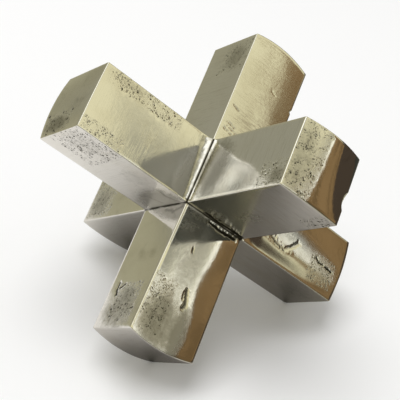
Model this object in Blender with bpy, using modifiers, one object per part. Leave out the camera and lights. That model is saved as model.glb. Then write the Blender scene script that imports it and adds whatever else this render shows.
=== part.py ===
"""Six-armed jack sculpture in polished sand-cast aluminium, standing on three corner tips.

Three square bars cross at the middle of one solid casting. The casting is shaped in its own
axes, with the left arm along +X, the right foot along -X, the right arm along +Y, the left
foot along -Y, the back arm along +Z and the front foot along -Z. It is then stood up, so that
one corner tip of each foot meets the ground. Sizes are in metres.
"""

import math
from collections import namedtuple

import bmesh
import bpy
from mathutils import Matrix, Vector

X, Y, Z = range(3)

# Core where the bars cross, across its flats
CORE_SIZE_X = 0.0445
CORE_SIZE_Y = 0.0445
CORE_SIZE_Z = 0.0436

# Reach of each arm, from the middle of the jack to its end corners
LEFT_ARM_REACH = 0.1029
RIGHT_FOOT_REACH = 0.1028
RIGHT_ARM_REACH = 0.1039
LEFT_FOOT_REACH = 0.1018
BACK_ARM_REACH = 0.1021
FRONT_FOOT_REACH = 0.1023

# Size of each arm at its end, across its flats: the hand-made bars flare and narrow a little
LEFT_ARM_END_Y = 0.0451
LEFT_ARM_END_Z = 0.0433
RIGHT_FOOT_END_Y = 0.0430
RIGHT_FOOT_END_Z = 0.0435
RIGHT_ARM_END_X = 0.0438
RIGHT_ARM_END_Z = 0.0424
LEFT_FOOT_END_X = 0.0436
LEFT_FOOT_END_Z = 0.0425
BACK_ARM_END_X = 0.0457
BACK_ARM_END_Y = 0.0444
FRONT_FOOT_END_X = 0.0468
FRONT_FOOT_END_Y = 0.0420

# Rise of each barrel-shaped end above its corners, along its low edge and its high edge
LEFT_ARM_CROWN_LOW = 0.0022
LEFT_ARM_CROWN_HIGH = 0.0002
RIGHT_FOOT_CROWN = 0.0020
RIGHT_ARM_CROWN_LOW = 0.0007
RIGHT_ARM_CROWN_HIGH = 0.0037
LEFT_FOOT_CROWN = 0.0033
BACK_ARM_CROWN = 0.0035
FRONT_FOOT_CROWN = 0.0031
CROWN_STRIPS = 8

# Outer edges and the valleys between the arms
EDGE_WIDTH = 0.0008
VALLEY_WIDTH = 0.0016
ROUNDING_SEGMENTS = 2
CREASE_ANGLE = math.radians(40)

# Weld bead in the valley between the left arm and the right arm
BEAD_RADIUS_LOW = 0.0022
BEAD_RADIUS_MIDDLE = 0.0034
BEAD_RADIUS_HIGH = 0.0054
BEAD_END_GAP = 0.0006

# Sink in the right foot's upper face, deepest along its lower rim
SINK_DISTANCE = 0.052
SINK_HEIGHT = 0.001
SINK_LENGTH = 0.023
SINK_WIDTH = 0.018
SINK_DEPTH = 0.0011
SINK_TILT = math.radians(5)

# Gouge in the front foot's right face
GOUGE_DISTANCE = 0.072
GOUGE_SHIFT = -0.0018
GOUGE_LENGTH = 0.0105
GOUGE_WIDTH = 0.0025
GOUGE_DEPTH = 0.0009
GOUGE_TURN = math.radians(6)

# Forked gouge in the front foot's left face
FORK_DISTANCE = 0.0775
FORK_SHIFT = -0.0115
FORK_LENGTH = 0.0085
FORK_WIDTH = 0.0026
FORK_DEPTH = 0.0008
FORK_TURN = math.radians(10)
TINE_REACH = 0.0030
TINE_LENGTH = 0.0080
TINE_WIDTH = 0.0014
TINE_TURN = math.radians(-62)

# Worn stretch of the right arm's end edge, and chip in the back arm's long edge
WORN_EDGE_HEIGHT = -0.006
WORN_EDGE_LENGTH = 0.020
WORN_EDGE_DEPTH = 0.0018
CHIP_DISTANCE = 0.0718
CHIP_LENGTH = 0.006
CHIP_DEPTH = 0.0012
EDGE_SCOOP_RADIUS = 0.009

# How far the three tips are worn flat, measured up from their sharp corners
TIP_WEAR = 0.0012

SCOOP_SEGMENTS = 20
BEAD_POINTS = 5
BEAD_RESOLUTION = 4
GROUND_SIZE = 0.4
GROUND_DEPTH = 0.02
SURFACE_OVERLAP = 0.0003
MERGE_DISTANCE = 0.000001

METAL_COLOUR = (0.66, 0.64, 0.58, 1.0)
METAL_ROUGHNESS = 0.25

Arm = namedtuple("Arm", "axis sign reach end_sizes crown_axis crown_low crown_high")

LEFT_ARM = Arm(
    X, 1, LEFT_ARM_REACH, {Y: LEFT_ARM_END_Y, Z: LEFT_ARM_END_Z},
    Z, LEFT_ARM_CROWN_LOW, LEFT_ARM_CROWN_HIGH,
)
RIGHT_FOOT = Arm(
    X, -1, RIGHT_FOOT_REACH, {Y: RIGHT_FOOT_END_Y, Z: RIGHT_FOOT_END_Z},
    Z, RIGHT_FOOT_CROWN, RIGHT_FOOT_CROWN,
)
RIGHT_ARM = Arm(
    Y, 1, RIGHT_ARM_REACH, {X: RIGHT_ARM_END_X, Z: RIGHT_ARM_END_Z},
    X, RIGHT_ARM_CROWN_LOW, RIGHT_ARM_CROWN_HIGH,
)
LEFT_FOOT = Arm(
    Y, -1, LEFT_FOOT_REACH, {X: LEFT_FOOT_END_X, Z: LEFT_FOOT_END_Z},
    X, LEFT_FOOT_CROWN, LEFT_FOOT_CROWN,
)
BACK_ARM = Arm(
    Z, 1, BACK_ARM_REACH, {X: BACK_ARM_END_X, Y: BACK_ARM_END_Y},
    X, BACK_ARM_CROWN, BACK_ARM_CROWN,
)
FRONT_FOOT = Arm(
    Z, -1, FRONT_FOOT_REACH, {X: FRONT_FOOT_END_X, Y: FRONT_FOOT_END_Y},
    X, FRONT_FOOT_CROWN, FRONT_FOOT_CROWN,
)
ARMS = (LEFT_ARM, RIGHT_FOOT, RIGHT_ARM, LEFT_FOOT, BACK_ARM, FRONT_FOOT)
FEET = (RIGHT_FOOT, LEFT_FOOT, FRONT_FOOT)
CORE_SIZES = (CORE_SIZE_X, CORE_SIZE_Y, CORE_SIZE_Z)


def clear_scene():
    for obj in list(bpy.data.objects):
        bpy.data.objects.remove(obj)


def new_collection(name):
    collection = bpy.data.collections.new(name)
    bpy.context.scene.collection.children.link(collection)
    return collection


def put_in(collection, obj, parent):
    """Moves the object into one collection and hangs it on its parent."""
    for other in list(obj.users_collection):
        other.objects.unlink(obj)
    collection.objects.link(obj)
    obj.parent = parent


def hide_helper(obj):
    obj.hide_render = True
    obj.display_type = "WIRE"


def polished_aluminium():
    material = bpy.data.materials.new("polished_aluminium")
    material.use_nodes = True
    shader = material.node_tree.nodes["Principled BSDF"]
    shader.inputs["Base Color"].default_value = METAL_COLOUR
    shader.inputs["Metallic"].default_value = 1.0
    shader.inputs["Roughness"].default_value = METAL_ROUGHNESS
    return material


def foot_tip(foot):
    """The sharp corner of a foot that reaches the ground: the one on the low side of every axis."""
    tip = Vector((0.0, 0.0, 0.0))
    tip[foot.axis] = foot.sign * foot.reach
    for axis, size in foot.end_sizes.items():
        tip[axis] = -size / 2
    return tip


def standing_turn():
    """The turn that brings the three foot tips level, with the back arm pointing to +Y."""
    first, second, third = (foot_tip(foot) for foot in FEET)
    up = (second - first).cross(third - first).normalized()
    if up.dot(first) > 0:
        up.negate()
    back = Vector((0.0, 0.0, 1.0))
    back = (back - back.dot(up) * up).normalized()
    right = back.cross(up)
    return Matrix((right, back, up)).to_4x4()


def face_level(arm, side_axis, distance):
    """How far an arm's side face lies from the middle, at a distance along the arm."""
    root = CORE_SIZES[arm.axis] / 2
    share = (distance - root) / (arm.reach - root)
    core_half = CORE_SIZES[side_axis] / 2
    return core_half + (arm.end_sizes[side_axis] / 2 - core_half) * share


def crown_rise(arm, point):
    """Height of the barrel-shaped end above its corners, at a point of the end."""
    (flat_axis,) = [axis for axis in arm.end_sizes if axis != arm.crown_axis]
    across = point[flat_axis] / arm.end_sizes[flat_axis] + 0.5
    round_way = point[arm.crown_axis] / (arm.end_sizes[arm.crown_axis] / 2)
    rise = arm.crown_low + (arm.crown_high - arm.crown_low) * across
    return rise * (1 - round_way**2)


def grow_arm(mesh, arm):
    """Extrudes one face of the core into an arm, and crowns its end in strips."""
    direction = Vector([arm.sign if axis == arm.axis else 0 for axis in (X, Y, Z)])
    root = max(mesh.faces, key=lambda f: f.calc_center_median().normalized().dot(direction))
    end = bmesh.ops.extrude_discrete_faces(mesh, faces=[root])["faces"][0]
    for vertex in end.verts:
        vertex.co[arm.axis] = arm.sign * arm.reach
        for axis, size in arm.end_sizes.items():
            vertex.co[axis] = math.copysign(size / 2, vertex.co[axis])
    crown_edges = [
        edge for edge in end.edges
        if edge.verts[0].co[arm.crown_axis] * edge.verts[1].co[arm.crown_axis] < 0
    ]
    cut = bmesh.ops.subdivide_edges(
        mesh, edges=crown_edges, cuts=CROWN_STRIPS - 1, use_grid_fill=True
    )
    for vertex in cut["geom_inner"]:
        if isinstance(vertex, bmesh.types.BMVert):
            vertex.co[arm.axis] += arm.sign * crown_rise(arm, vertex.co)


def weigh_creases(mesh):
    """Marks outer edges and valleys, so that one bevel gives each its own width."""
    widest = max(EDGE_WIDTH, VALLEY_WIDTH)
    weight = mesh.edges.layers.float.new("bevel_weight_edge")
    for edge in mesh.edges:
        angle = edge.calc_face_angle_signed()
        if angle > CREASE_ANGLE:
            edge[weight] = EDGE_WIDTH / widest
        elif angle < -CREASE_ANGLE:
            edge[weight] = VALLEY_WIDTH / widest
    return widest


def make_jack(collection, stand):
    """The core and its six arms, with rounded edges and filled valleys."""
    bpy.ops.mesh.primitive_cube_add(size=1.0)
    jack = bpy.context.object
    jack.name = "jack"
    put_in(collection, jack, stand)
    mesh = bmesh.new()
    mesh.from_mesh(jack.data)
    bmesh.ops.scale(mesh, vec=CORE_SIZES, verts=mesh.verts)
    for arm in ARMS:
        grow_arm(mesh, arm)
    widest = weigh_creases(mesh)
    mesh.to_mesh(jack.data)
    mesh.free()
    jack.data.shade_smooth()
    jack.data.materials.append(polished_aluminium())
    bevel = jack.modifiers.new("Rounded edges", "BEVEL")
    bevel.limit_method = "WEIGHT"
    bevel.width = widest
    bevel.segments = ROUNDING_SEGMENTS
    bevel.use_clamp_overlap = False
    bevel.harden_normals = True
    return jack


def bead_radius(share):
    """Radius of the weld bead, at a share of its height: a curve through its three sizes."""
    low, middle, high = BEAD_RADIUS_LOW, BEAD_RADIUS_MIDDLE, BEAD_RADIUS_HIGH
    slope = 4 * middle - 3 * low - high
    return low + slope * share + (high - low - slope) * share**2


def make_bead(collection, stand):
    """The weld bead: a round rod that thickens upwards along the valley."""
    curve = bpy.data.curves.new("weld_bead_guide", "CURVE")
    curve.dimensions = "3D"
    curve.bevel_depth = 1.0
    curve.bevel_resolution = BEAD_RESOLUTION
    curve.use_fill_caps = True
    spline = curve.splines.new("POLY")
    spline.points.add(BEAD_POINTS - 1)
    half_height = CORE_SIZE_Z / 2 - BEAD_END_GAP
    for number, point in enumerate(spline.points):
        share = number / (BEAD_POINTS - 1)
        height = half_height * (2 * share - 1)
        point.co = (CORE_SIZE_X / 2, CORE_SIZE_Y / 2, height, 1.0)
        point.radius = bead_radius(share)
    guide = bpy.data.objects.new("weld_bead_guide", curve)
    collection.objects.link(guide)
    graph = bpy.context.evaluated_depsgraph_get()
    rod = bpy.data.meshes.new_from_object(guide.evaluated_get(graph))
    bpy.data.objects.remove(guide)
    weld_caps = bmesh.new()
    weld_caps.from_mesh(rod)
    bmesh.ops.remove_doubles(weld_caps, verts=weld_caps.verts, dist=MERGE_DISTANCE)
    bmesh.ops.recalc_face_normals(weld_caps, faces=weld_caps.faces)
    weld_caps.to_mesh(rod)
    weld_caps.free()
    bead = bpy.data.objects.new("weld_bead", rod)
    put_in(collection, bead, stand)
    hide_helper(bead)
    return bead


def make_scoop(name, collection, stand, place, half_sizes, turn=None):
    """An ellipsoid cutter that leaves a hollow in a face."""
    bpy.ops.mesh.primitive_uv_sphere_add(
        segments=SCOOP_SEGMENTS, ring_count=SCOOP_SEGMENTS // 2, radius=1.0
    )
    scoop = bpy.context.object
    scoop.name = name
    put_in(collection, scoop, stand)
    turn = turn or Matrix.Identity(4)
    scoop.data.transform(Matrix.Translation(place) @ turn @ Matrix.Diagonal((*half_sizes, 1.0)))
    hide_helper(scoop)


def make_sink(collection, stand):
    """The hollow in the right foot's upper face, tipped so that its lower rim bites deepest."""
    level = face_level(RIGHT_FOOT, Y, SINK_DISTANCE)
    make_scoop(
        "sink_cutter", collection, stand,
        place=(-SINK_DISTANCE, level + SURFACE_OVERLAP, SINK_HEIGHT),
        half_sizes=(SINK_LENGTH / 2, SINK_DEPTH + SURFACE_OVERLAP, SINK_WIDTH / 2),
        turn=Matrix.Rotation(-SINK_TILT, 4, "X"),
    )


def make_gouge(collection, stand):
    """The long nick in the front foot's right face."""
    level = face_level(FRONT_FOOT, Y, GOUGE_DISTANCE)
    make_scoop(
        "gouge_cutter", collection, stand,
        place=(GOUGE_SHIFT, level + SURFACE_OVERLAP, -GOUGE_DISTANCE),
        half_sizes=(GOUGE_WIDTH / 2, GOUGE_DEPTH + SURFACE_OVERLAP, GOUGE_LENGTH / 2),
        turn=Matrix.Rotation(GOUGE_TURN, 4, "Y"),
    )


def make_fork(collection, stand):
    """The forked nick in the front foot's left face: a stem and a thin tine."""
    level = face_level(FRONT_FOOT, X, FORK_DISTANCE)
    depth = FORK_DEPTH + SURFACE_OVERLAP
    make_scoop(
        "fork_stem_cutter", collection, stand,
        place=(level + SURFACE_OVERLAP, FORK_SHIFT, -FORK_DISTANCE),
        half_sizes=(depth, FORK_WIDTH / 2, FORK_LENGTH / 2),
        turn=Matrix.Rotation(FORK_TURN, 4, "X"),
    )
    make_scoop(
        "fork_tine_cutter", collection, stand,
        place=(level + SURFACE_OVERLAP, FORK_SHIFT + TINE_REACH, TINE_REACH / 2 - FORK_DISTANCE),
        half_sizes=(depth, TINE_WIDTH / 2, TINE_LENGTH / 2),
        turn=Matrix.Rotation(TINE_TURN, 4, "X"),
    )


def make_edge_scoop(name, collection, stand, edge_point, outward, along, length, depth):
    """A cutter that takes a shallow bite out of an outer edge."""
    half_sizes = [EDGE_SCOOP_RADIUS] * 3
    half_sizes[along] = length / 2
    place = Vector(edge_point) + Vector(outward).normalized() * (EDGE_SCOOP_RADIUS - depth)
    make_scoop(name, collection, stand, place, half_sizes)


def make_worn_edges(collection, stand):
    """The rubbed edge of the right arm's end, and the chip in the back arm's right edge."""
    make_edge_scoop(
        "worn_edge_cutter", collection, stand,
        edge_point=(-RIGHT_ARM_END_X / 2, RIGHT_ARM_REACH, WORN_EDGE_HEIGHT),
        outward=(-1, 1, 0), along=Z, length=WORN_EDGE_LENGTH, depth=WORN_EDGE_DEPTH,
    )
    side = face_level(BACK_ARM, X, CHIP_DISTANCE)
    front = face_level(BACK_ARM, Y, CHIP_DISTANCE)
    make_edge_scoop(
        "chip_cutter", collection, stand,
        edge_point=(-side, front, CHIP_DISTANCE),
        outward=(-1, 1, 0), along=Z, length=CHIP_LENGTH, depth=CHIP_DEPTH,
    )


def make_ground(collection, turn):
    """A block that wears the three tips to small flats at one height, and that height."""
    wear_height = (turn @ foot_tip(FRONT_FOOT)).z + TIP_WEAR
    bpy.ops.mesh.primitive_cube_add(size=1.0)
    ground = bpy.context.object
    ground.name = "ground_cutter"
    put_in(collection, ground, None)
    place = Matrix.Translation((0.0, 0.0, wear_height - GROUND_DEPTH / 2))
    ground.data.transform(place @ Matrix.Diagonal((GROUND_SIZE, GROUND_SIZE, GROUND_DEPTH, 1.0)))
    hide_helper(ground)
    return ground, wear_height


def add_boolean(obj, name, operation, other):
    boolean = obj.modifiers.new(name, "BOOLEAN")
    boolean.operation = operation
    boolean.solver = "EXACT"
    if isinstance(other, bpy.types.Collection):
        boolean.operand_type = "COLLECTION"
        boolean.collection = other
    else:
        boolean.object = other


def centre_over_origin(jack, stand, ground, wear_height):
    """Slides everything so that the jack stands on z = 0, centred over the origin."""
    bpy.context.view_layer.update()
    graph = bpy.context.evaluated_depsgraph_get()
    finished = jack.evaluated_get(graph)
    vertices = [finished.matrix_world @ vertex.co for vertex in finished.data.vertices]
    middle = [
        (min(v[axis] for v in vertices) + max(v[axis] for v in vertices)) / 2 for axis in (X, Y)
    ]
    slide = Matrix.Translation((-middle[X], -middle[Y], -wear_height))
    stand.matrix_world = slide @ stand.matrix_world
    ground.matrix_world = slide @ ground.matrix_world


def main():
    clear_scene()
    sculpture = new_collection("jack_sculpture")
    helpers = new_collection("helpers")
    cutters = new_collection("cutters")
    turn = standing_turn()
    stand = bpy.data.objects.new("stand", None)
    sculpture.objects.link(stand)
    stand.matrix_world = turn
    jack = make_jack(sculpture, stand)
    bead = make_bead(helpers, stand)
    make_sink(cutters, stand)
    make_gouge(cutters, stand)
    make_fork(cutters, stand)
    make_worn_edges(cutters, stand)
    ground, wear_height = make_ground(helpers, turn)
    add_boolean(jack, "Weld bead", "UNION", bead)
    add_boolean(jack, "Hollows", "DIFFERENCE", cutters)
    add_boolean(jack, "Worn tips", "DIFFERENCE", ground)
    centre_over_origin(jack, stand, ground, wear_height)


main()
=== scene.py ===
"""Six-armed jack in polished sand-cast aluminium, dressed for its photograph.

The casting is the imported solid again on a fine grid, with what casting, welding and polishing leave
on it. It is shaped in the jack's own axes, left arm along +X, right arm along +Y and back arm along
+Z, and is then stood on its three tips. Sizes are in metres.
"""

import math
import random
from collections import namedtuple

import bmesh
import bpy
import numpy as np
from bpy.props import FloatProperty, FloatVectorProperty, PointerProperty
from mathutils import Matrix, Vector, noise


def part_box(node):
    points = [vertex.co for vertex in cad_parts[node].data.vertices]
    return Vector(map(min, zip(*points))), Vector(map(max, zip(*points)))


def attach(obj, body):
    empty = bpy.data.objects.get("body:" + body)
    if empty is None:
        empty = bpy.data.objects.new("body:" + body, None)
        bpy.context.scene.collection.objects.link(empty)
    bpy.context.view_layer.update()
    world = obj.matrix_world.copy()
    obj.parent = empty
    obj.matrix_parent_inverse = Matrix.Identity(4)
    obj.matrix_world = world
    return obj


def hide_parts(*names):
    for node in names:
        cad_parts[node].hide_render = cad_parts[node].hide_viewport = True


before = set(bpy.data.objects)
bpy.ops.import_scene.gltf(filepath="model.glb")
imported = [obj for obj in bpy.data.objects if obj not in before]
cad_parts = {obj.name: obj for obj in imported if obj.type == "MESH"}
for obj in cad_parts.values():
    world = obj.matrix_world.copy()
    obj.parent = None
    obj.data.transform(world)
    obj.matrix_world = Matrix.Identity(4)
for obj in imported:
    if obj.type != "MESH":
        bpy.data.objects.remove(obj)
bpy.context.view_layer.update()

bl_info = {
    "name": "Cast Jack Sculpture",
    "version": (1, 0, 0),
    "blender": (4, 5, 0),
    "location": "View3D > Sidebar > Jack",
    "description": "Adds a polished cast jack on a pale studio floor",
    "category": "Add Mesh",
}

MM = 0.001
X, Y, Z = range(3)

Arm = namedtuple("Arm", "axis sign reach end_sizes crown_axis crown_low crown_high")
Face = namedtuple("Face", "arm side sign")
Zone = namedtuple("Zone", "face along across count size depth")
Groove = namedtuple("Groove", "face path width depth dirt")
SoftPatch = namedtuple("SoftPatch", "face centre size strength")
Fold = namedtuple("Fold", "face ridge lift soft plus_fall minus_fall")
Scoop = namedtuple("Scoop", "face back deepest front depth across drift")
Hole = namedtuple("Hole", "place radius depth dirt")
Wear = namedtuple("Wear", "edge length depth")

# Upper line of the brown timber in the room, as azimuth and elevation in degrees
TIMBER_LINE = ((1, 18), (10, 21), (21, 28))

# Side faces and barrel ends, named as the photograph shows them
LEFT_ARM_FRONT = Face("left_arm", Y, 1)
LEFT_ARM_UNDER = Face("left_arm", Z, -1)
LEFT_ARM_END = Face("left_arm", X, 1)
RIGHT_ARM_LEFT = Face("right_arm", X, 1)
RIGHT_ARM_UNDER = Face("right_arm", Z, -1)
RIGHT_ARM_RIGHT = Face("right_arm", X, -1)
RIGHT_ARM_BACK = Face("right_arm", Z, 1)
RIGHT_ARM_END = Face("right_arm", Y, 1)
BACK_ARM_LEFT = Face("back_arm", X, 1)
BACK_ARM_FRONT = Face("back_arm", Y, 1)
BACK_ARM_RIGHT = Face("back_arm", X, -1)
BACK_ARM_BACK = Face("back_arm", Y, -1)
FRONT_FOOT_LEFT = Face("front_foot", X, 1)
FRONT_FOOT_RIGHT = Face("front_foot", Y, 1)
FRONT_FOOT_END = Face("front_foot", Z, -1)
LEFT_FOOT_LEFT = Face("left_foot", X, 1)
LEFT_FOOT_UNDER = Face("left_foot", Z, -1)
LEFT_FOOT_BACK = Face("left_foot", Z, 1)
LEFT_FOOT_END = Face("left_foot", Y, -1)
RIGHT_FOOT_TOP = Face("right_foot", Y, 1)
RIGHT_FOOT_UNDER = Face("right_foot", Z, -1)
RIGHT_FOOT_BACK = Face("right_foot", Z, 1)
RIGHT_FOOT_END = Face("right_foot", X, -1)

# Pitted patches: place along and across the face, number of pits, their radius and depth in mm
PIT_ZONES = (
    Zone(LEFT_ARM_UNDER, (70, 103), (-12, 21.5), 260, 0.44, 0.24),
    Zone(LEFT_ARM_FRONT, (46, 98), (12, 21), 90, 0.4, 0.16),
    Zone(LEFT_ARM_FRONT, (74, 102), (-21, -13), 22, 0.38, 0.14),
    Zone(LEFT_ARM_END, (-20, 9), (-21, -7), 60, 0.48, 0.2),
    Zone(RIGHT_ARM_END, (3, 21), (-21, 21), 130, 0.38, 0.11),
    Zone(RIGHT_ARM_LEFT, (82, 103), (-20.5, -4), 70, 0.5, 0.22),
    Zone(RIGHT_ARM_UNDER, (84, 103), (-21, -11), 45, 0.45, 0.2),
    Zone(FRONT_FOOT_LEFT, (73, 98), (-11, 14), 110, 0.5, 0.15),
    Zone(FRONT_FOOT_RIGHT, (66, 100), (6, 22), 55, 0.38, 0.1),
    Zone(BACK_ARM_LEFT, (76, 99), (-6, 21), 40, 0.42, 0.14),
    Zone(LEFT_FOOT_LEFT, (70, 100), (-19, 17), 60, 0.42, 0.14),
    Zone(RIGHT_FOOT_TOP, (78, 99), (-17, 2), 60, 0.38, 0.12),
    Zone(BACK_ARM_BACK, (62, 98), (-20, 6), 70, 0.45, 0.16),
    Zone(LEFT_FOOT_BACK, (70, 99), (-4, 20), 60, 0.45, 0.16),
    Zone(RIGHT_FOOT_BACK, (72, 100), (-20, 2), 60, 0.45, 0.16),
    Zone(LEFT_FOOT_END, (-18, 4), (-19, 12), 60, 0.45, 0.14),
    Zone(RIGHT_FOOT_END, (-16, 19), (2, 20), 60, 0.45, 0.14),
    Zone(RIGHT_ARM_BACK, (66, 98), (-3, 20), 60, 0.45, 0.16),
)

# Gouges and cracks, and dark lines at the arms' roots: points along and across the face, width and depth
# in mm, and how dark they are painted, with dirty residue and painted shade
GROOVES = (
    Groove(FRONT_FOOT_RIGHT, ((67, -1), (70, -1.6), (74, -3.2), (77, -2.6)), 1.3, 0.6, 0.6),
    Groove(FRONT_FOOT_RIGHT, ((69, 0.4), (73.5, -0.6)), 0.6, 0.3, 0.5),
    Groove(FRONT_FOOT_RIGHT, ((43, 6.2), (46, 5.6)), 0.5, 0.3, 0.7),
    Groove(FRONT_FOOT_LEFT, ((81.3, -10.7), (77, -12.6), (73.3, -12.3)), 1, 0.4, 0.95),
    Groove(FRONT_FOOT_LEFT, ((77, -9.8), (74, -5.1)), 0.7, 0.3, 0.9),
    Groove(RIGHT_FOOT_TOP, ((44.8, -5.4), (51, -7.5), (57, -8.4), (61, -5.6), (65, -0.6)),
           1.5, 0.32, 0.3),
    Groove(RIGHT_FOOT_TOP, ((81.5, -1.2), (85, -3.2), (89, -2.9)), 0.6, 0.4, 0.8),
    Groove(RIGHT_FOOT_TOP, ((91, -3.4), (96.6, -4)), 0.7, 0.45, 0.9),
    Groove(BACK_ARM_FRONT, ((50, 18.5), (48.3, 13)), 0.35, 0.1, 0.45),
    Groove(BACK_ARM_FRONT, ((38, 18), (36.5, 11)), 0.3, 0.08, 0.35),
    Groove(BACK_ARM_FRONT, ((35.5, 17), (34, 9)), 0.3, 0.08, 0.35),
    Groove(BACK_ARM_FRONT, ((33, 19), (31.8, 12)), 0.3, 0.08, 0.3),
    Groove(BACK_ARM_FRONT, ((75, -3), (73.5, -7)), 0.3, 0.08, 0.3),
    Groove(RIGHT_ARM_UNDER, ((24.4, 8), (23.6, -2), (24.6, -9), (23.8, -21)), 1.5, 0.6, 0.95),
    Groove(FRONT_FOOT_RIGHT, ((24, 3), (24.8, -6), (23.8, -18)), 1.2, 0.4, 0.8),
    Groove(RIGHT_ARM_UNDER, ((25.8, -13), (25.4, -20)), 0.9, 0.4, 0.7),
    Groove(FRONT_FOOT_LEFT, ((24, 20), (26.5, 12), (24.5, 2)), 1.6, 0.15, 0.4),
    Groove(LEFT_ARM_UNDER, ((24.5, 16), (31, 12), (36, 13)), 1.8, 0.12, 0.35),
    Groove(LEFT_ARM_UNDER, ((26, 2), (33, -3), (35, -8)), 1.5, 0.12, 0.3),
)

# Dirty, dull patches, partly painted shade that darkens the metal's reflection: middle along and across
# the face and half sizes in mm, and how strong
SMUDGES_AND_SHADES = (
    SoftPatch(LEFT_ARM_UNDER, (27, 2), (18, 28), 1),
    SoftPatch(LEFT_ARM_UNDER, (90, 8), (18, 18), 0.35),
    SoftPatch(LEFT_ARM_UNDER, (52, 8), (14, 14), 0.35),
    SoftPatch(LEFT_ARM_END, (-6, -15), (17, 7), 0.8),
    SoftPatch(LEFT_ARM_END, (8, -3), (9, 6), 0.4),
    SoftPatch(LEFT_ARM_FRONT, (60, 0), (22, 13), 0.3),
    SoftPatch(LEFT_ARM_FRONT, (84, 18), (16, 4), 0.35),
    SoftPatch(RIGHT_ARM_LEFT, (97, -15), (8, 7), 0.7),
    SoftPatch(RIGHT_ARM_LEFT, (35, 0), (18, 24), 1),
    SoftPatch(RIGHT_ARM_UNDER, (30, 6), (10, 14), 0.5),
    SoftPatch(RIGHT_ARM_UNDER, (52, -2), (16, 10), 0.4),
    SoftPatch(RIGHT_ARM_END, (18, 0), (11, 30), 0.5),
    SoftPatch(BACK_ARM_LEFT, (88, 8), (12, 13), 0.65),
    SoftPatch(LEFT_FOOT_LEFT, (87, -8), (14, 14), 0.6),
    SoftPatch(FRONT_FOOT_LEFT, (92, 0), (20, 24), 0.6),
    SoftPatch(FRONT_FOOT_LEFT, (84, 2), (12, 11), 0.7),
    SoftPatch(FRONT_FOOT_RIGHT, (92, 7), (24, 20), 0.7),
    SoftPatch(FRONT_FOOT_RIGHT, (58, 4), (24, 12), 0.35),
    SoftPatch(FRONT_FOOT_RIGHT, (93, -6), (23, 8), 0.95),
    SoftPatch(RIGHT_FOOT_UNDER, (88, 4), (18, 16), 0.35),
    SoftPatch(RIGHT_FOOT_TOP, (90, -8), (10, 8), 0.35),
)

# Satin patches that are ground but not polished, written like the smudges
SATINS = (
    SoftPatch(RIGHT_ARM_UNDER, (62, 0), (60, 40), 1),
    SoftPatch(RIGHT_ARM_LEFT, (80, 10), (50, 30), 0.5),
    SoftPatch(RIGHT_ARM_END, (14, 0), (13, 30), 0.9),
    SoftPatch(LEFT_ARM_UNDER, (60, 0), (60, 40), 0.5),
    SoftPatch(LEFT_ARM_END, (0, 0), (40, 40), 0.6),
    SoftPatch(FRONT_FOOT_LEFT, (70, 0), (70, 40), 0.35),
    SoftPatch(FRONT_FOOT_RIGHT, (92, 8), (26, 18), 0.8),
    SoftPatch(FRONT_FOOT_END, (0, 0), (40, 40), 0.6),
    SoftPatch(BACK_ARM_LEFT, (70, 0), (70, 40), 0.6),
    SoftPatch(LEFT_FOOT_LEFT, (70, 0), (70, 40), 0.7),
    SoftPatch(LEFT_FOOT_UNDER, (70, 0), (70, 40), 0.5),
    SoftPatch(RIGHT_FOOT_UNDER, (70, 0), (70, 40), 0.3),
    SoftPatch(RIGHT_FOOT_TOP, (60, -8), (62, 19), 0.75),
    SoftPatch(BACK_ARM_FRONT, (62, 0), (70, 40), 0.35),
    SoftPatch(LEFT_ARM_FRONT, (60, 0), (70, 40), 0.15),
    SoftPatch(FRONT_FOOT_RIGHT, (50, 5), (26, 18), 0.4),
)

# Folds that hand grinding leaves: the ridge's line along the face, its lift, how soft it is, and
# how much the face falls on either side of it over the fold's reach, in mm
FOLD_REACH = 14
FOLDS = (
    Fold(FRONT_FOOT_RIGHT,
         ((28, -9.5), (44, -8.6), (54, -6.4), (62, -6), (70, -7.6), (80, -9.8), (94, -9.4), (104, -7.5)),
         0.32, 3, 0.32, 0.36),
    Fold(BACK_ARM_FRONT, ((24, -12), (64, -10.2), (88, -8), (104, -7)), 0, 2, 0.07, 0.12),
)

# Long shallow hollows: where each starts, is deepest and ends along the face, its depth, and
# across the face where it starts, is full, begins to end and ends, and how far its end drifts
# back for each mm along, in mm
SCOOPS = (
    Scoop(RIGHT_FOOT_TOP, 24, 38, 120, 3.5, (-23, -7.5, -4.5, 12.5), 0.12),
    Scoop(RIGHT_ARM_LEFT, 44, 62, 84, 0.25, (-24, -12, -9, 0), 0),
)

# Blow holes: their place in the jack's axes, radius and depth in mm, and how dark they are painted, with
# dirty residue and painted shade
HOLES = (
    Hole((-21.5, 22.3, -21.5), 1.8, 1, 1),
    Hole((-18.5, 23, -22.6), 1.2, 0.5, 0.9),
    Hole((-25.5, 22.4, -20), 1, 0.3, 0.5),
    Hole((8, 23.4, -22.6), 1.3, 0.4, 0.8),
)

# Bites out of outer edges that run along Z and face -X and +Y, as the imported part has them: the
# rubbed edge of the right arm's end and the chip in the back arm. Middle, length and depth in mm
WEARS = (
    Wear((-21.9, 103.9, -6), 20, 1.8),
    Wear((-22.6, 22.2, 71.8), 6, 1.2),
)
WEAR_RADIUS = 9

# Further places that are cut finer: the foot's hollow, the bead's sides and the worn edges
FINE_PATCHES = (
    (RIGHT_FOOT_TOP, (39, 76), (-15, 4)),
    (RIGHT_ARM_LEFT, (22.3, 29), (-22, 22)),
    (LEFT_ARM_FRONT, (22.3, 29), (-22, 22)),
    (RIGHT_ARM_END, (-22, -18.5), (-17, 5)),
    (RIGHT_ARM_RIGHT, (100, 104), (-17, 5)),
    (BACK_ARM_FRONT, (68, 76), (-23, -20)),
    (BACK_ARM_RIGHT, (68, 76), (19, 23)),
)

# The lip below the crescent-shaped gouge: its line on the face, its width and height in mm
LIP = ((43, -7.5), (50, -9.6), (57.5, -10.6), (63, -7.8))
LIP_WIDTH, LIP_HEIGHT = 1.5, 0.12

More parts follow.
